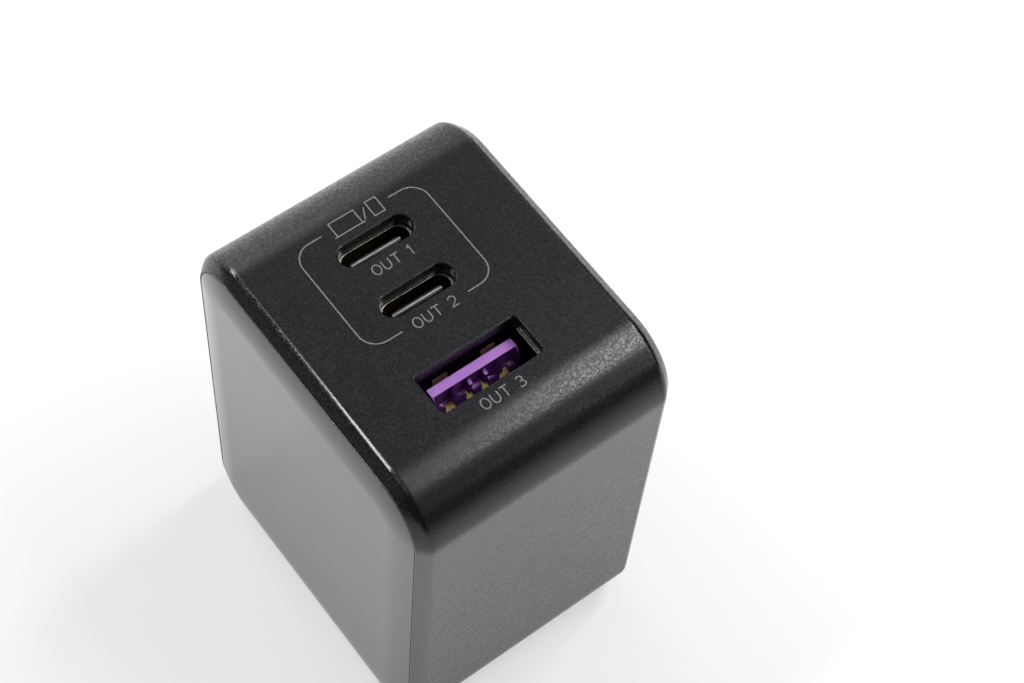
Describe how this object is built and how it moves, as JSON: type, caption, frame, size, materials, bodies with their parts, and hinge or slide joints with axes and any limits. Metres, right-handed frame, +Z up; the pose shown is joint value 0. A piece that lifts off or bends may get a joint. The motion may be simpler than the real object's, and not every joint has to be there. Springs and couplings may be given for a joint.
{
  "type": "usb wall charger",
  "caption": "Upright wall charger with rounded ends, a crowned side lid, sockets for charging leads in its top and a mains plug that folds into its base.",
  "frame": {"origin": "middle of the flat base that the charger stands on", "axes": "+Z up towards the sockets, +X along the sockets' long sides away from the side lid, +Y along the row of sockets towards the slim ones"},
  "size_m": [0.0338, 0.042, 0.056],
  "materials": {
    "black_insulator": "satin moulding",
    "blade_metal": "nickel plated",
    "bobbin_plastic": "moulding",
    "can_sleeve": "shrunk sleeve",
    "case_plastic": "fine spark texture, matte",
    "circuit_board": "solder mask",
    "contact_metal": "plated spring sheet",
    "copper_wire": "enamelled wire",
    "coupler_case": "moulded package",
    "epoxy": "moulded package",
    "ferrite": "sintered, matte",
    "film_case": "cast case",
    "fuse_case": "moulding",
    "inductor_block": "pressed powder",
    "lid_plastic": "smooth, semi-gloss",
    "plug_plastic": "matte moulding",
    "safety_coat": "moulded case",
    "screw_steel": "plain",
    "socket_steel": "drawn sheet",
    "spreader": "plain sheet",
    "thermal_pad": "soft pad",
    "varistor_coat": "dipped coat",
    "violet_plastic": "satin moulding",
    "winding_tape": "wrapped tape"
  },
  "bodies": {
    "case": {"bridge_rectifier": "epoxy", "bulk_capacitor_1": "can_sleeve", "bulk_capacitor_2": "can_sleeve", "bulk_capacitor_3": "can_sleeve", "choke_core": "ferrite", "choke_windings": "copper_wire", "filter_capacitor": "film_case", "fuse": "fuse_case", "heat_spreader": "spreader", "housing_shell": "case_plastic", "input_board": "circuit_board", "main_board": "circuit_board", "mains_contact_1": "contact_metal", "mains_contact_2": "contact_metal", "optocoupler": "coupler_case", "output_capacitor": "can_sleeve", "output_inductor_1": "inductor_block", "output_inductor_2": "inductor_block", "plug_cradle": "plug_plastic", "plug_retainer": "plug_plastic", "port_board": "circuit_board", "port_controller_1": "epoxy", "port_controller_2": "epoxy", "rectifier_chip": "epoxy", "retainer_screws": "screw_steel", "safety_capacitor": "safety_coat", "side_lid": "lid_plastic", "slim_port_1_contacts": "contact_metal", "slim_port_1_insulator": "black_insulator", "slim_port_1_shell": "socket_steel", "slim_port_2_contacts": "contact_metal", "slim_port_2_insulator": "black_insulator", "slim_port_2_shell": "socket_steel", "switch_chip": "epoxy", "thermal_pad": "thermal_pad", "transformer_bobbin": "bobbin_plastic", "transformer_core_lower": "ferrite", "transformer_core_upper": "ferrite", "transformer_winding": "winding_tape", "varistor": "varistor_coat", "wide_port_contacts": "contact_metal", "wide_port_insulator": "violet_plastic", "wide_port_shell": "socket_steel"},
    "plug": {"blade_carrier": "plug_plastic", "blade_1": "blade_metal", "blade_2": "blade_metal"}
  },
  "joints": [
    {"name": "plug_fold", "type": "hinge", "parent": "case", "child": "plug", "pos_m": [0, -0.008, 0.0037], "axis": [-1, 0, 0], "range_deg": [0, 90]}
  ]
}
